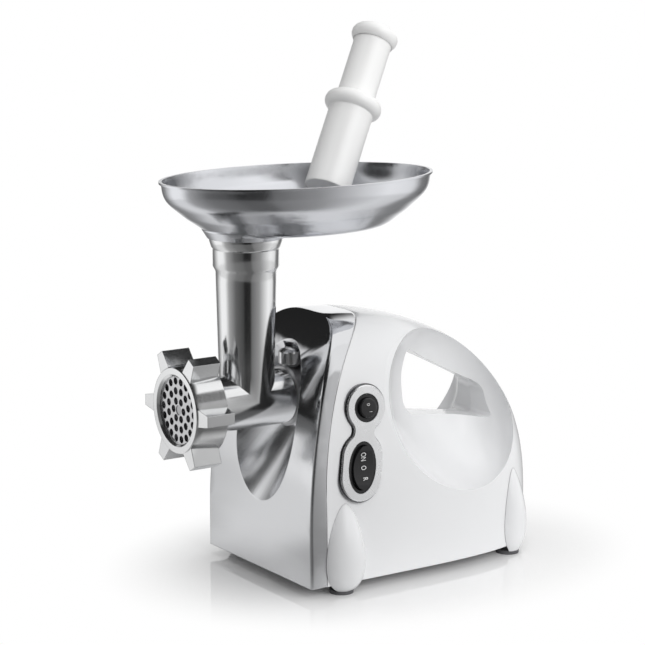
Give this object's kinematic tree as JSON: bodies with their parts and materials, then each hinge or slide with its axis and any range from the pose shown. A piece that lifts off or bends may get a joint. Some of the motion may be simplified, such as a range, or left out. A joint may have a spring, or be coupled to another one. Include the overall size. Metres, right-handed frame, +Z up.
{
  "type": "electric meat grinder",
  "caption": "Electric meat grinder with an oval feed tray on a hopper tube, a ring-nut mincing head, a grey front panel, side switches, teardrop feet and a hand hole.",
  "frame": {"origin": "middle of the footprint at floor level", "axes": "+Z up, the mincing head faces -Y, the switches are on +X"},
  "size_m": [0.187, 0.3373, 0.4508],
  "materials": {
    "white_plastic": "glossy",
    "base_plastic": "matte",
    "silver_panel": "satin silver",
    "polished_casting": "polished",
    "brushed_tray": "brushed",
    "chrome": "polished",
    "cutter_steel": "ground",
    "cast_alloy": "as cast",
    "pusher_plastic": "satin",
    "black_plastic": "satin",
    "rubber": "matte",
    "bronze": "machined",
    "copper": "varnished",
    "laminated_steel": "laminated",
    "gear_nylon": "natural",
    "zinc_steel": "zinc plated",
    "carbon": "matte",
    "board": "matte"
  },
  "bodies": {
    "housing": {"auger_bush": "bronze", "base_plate": "base_plastic", "base_screws": "zinc_steel", "brush_holders": "black_plastic", "carbon_brushes": "carbon", "control_board": "board", "cord_inlet": "rubber", "cutting_plate": "cutter_steel", "field_coils": "copper", "first_gear_pin": "cutter_steel", "foot_pads": "rubber", "front_fascia": "silver_panel", "front_left_foot": "white_plastic", "front_motor_bracket": "cast_alloy", "front_right_foot": "white_plastic", "gearbox_cover": "cast_alloy", "gearbox_housing": "cast_alloy", "gearbox_screws": "zinc_steel", "head_casting": "polished_casting", "head_socket": "cast_alloy", "left_shell": "white_plastic", "lock_lid": "gear_nylon", "lock_spring": "zinc_steel", "motor_bearings": "cutter_steel", "motor_screws": "zinc_steel", "output_bush": "bronze", "rear_left_foot": "white_plastic", "rear_motor_bracket": "cast_alloy", "rear_right_foot": "white_plastic", "right_shell": "white_plastic", "rocker_switch_body": "black_plastic", "round_button_spring": "zinc_steel", "round_switch_body": "black_plastic", "second_gear_pin": "cutter_steel", "stator": "laminated_steel", "switch_bezel": "chrome", "switch_plinth": "black_plastic"},
    "drive": {"auger": "cast_alloy", "cross_knife": "cutter_steel", "output_shaft": "cutter_steel", "output_gear": "gear_nylon"},
    "second": {"second_gear": "gear_nylon"},
    "first": {"first_gear": "gear_nylon"},
    "armature": {"motor_shaft": "laminated_steel", "armature_core": "laminated_steel", "armature_windings": "copper", "commutator": "copper", "cooling_fan": "black_plastic"},
    "nut": {"ring_nut": "polished_casting"},
    "tray": {"tray": "brushed_tray"},
    "pusher": {"pusher": "pusher_plastic"},
    "lock": {"lock_button": "chrome"},
    "rocker": {"rocker": "black_plastic"},
    "round_button": {"round_button": "black_plastic"}
  },
  "joints": [
    {"name": "drive_spin", "type": "hinge", "parent": "housing", "child": "drive", "pos_m": [0, -0.0345, 0.151], "axis": [0, 1, 0], "continuous": true},
    {"name": "second_spin", "type": "hinge", "parent": "housing", "child": "second", "pos_m": [0.012, -0.0245, 0.1131], "axis": [0, 1, 0], "continuous": true},
    {"name": "first_spin", "type": "hinge", "parent": "housing", "child": "first", "pos_m": [-0.006, -0.0145, 0.0868], "axis": [0, 1, 0], "continuous": true},
    {"name": "armature_spin", "type": "hinge", "parent": "housing", "child": "armature", "pos_m": [0, 0.0455, 0.06099], "axis": [0, 1, 0], "continuous": true},
    {"name": "nut_turn", "type": "hinge", "parent": "housing", "child": "nut", "pos_m": [0, -0.1495, 0.151], "axis": [0, 1, 0], "continuous": true},
    {"name": "tray_lift", "type": "slide", "parent": "housing", "child": "tray", "axis": [0, 0, 1], "range_m": [0, 0.12]},
    {"name": "pusher_lift", "type": "slide", "parent": "tray", "child": "pusher", "axis": [-0.24, 0.4986, 0.8329], "range_m": [0, 0.12]},
    {"name": "lock_pull", "type": "slide", "parent": "housing", "child": "lock", "axis": [0, 0, 1], "range_m": [0, 0.0028], "stiffness_N_per_m": 400, "springref_m": -0.003, "deforming": ["lock_spring"]},
    {"name": "rocker_tip", "type": "hinge", "parent": "housing", "child": "rocker", "pos_m": [0.07433, -0.0355, 0.10252], "axis": [0.0198, 0.9863, -0.1639], "range_deg": [-5, 5]},
    {"name": "button_push", "type": "slide", "parent": "housing", "child": "round_button", "axis": [-0.9928, 0, -0.1201], "range_m": [0, 0.0025], "stiffness_N_per_m": 300, "springref_m": -0.003, "deforming": ["round_button_spring"]}
  ],
  "couplings": [
    {"joint": "second_spin", "follows": "drive_spin", "ratio": -4.3},
    {"joint": "first_spin", "follows": "drive_spin", "ratio": 17.63},
    {"joint": "armature_spin", "follows": "drive_spin", "ratio": -75.809}
  ]
}
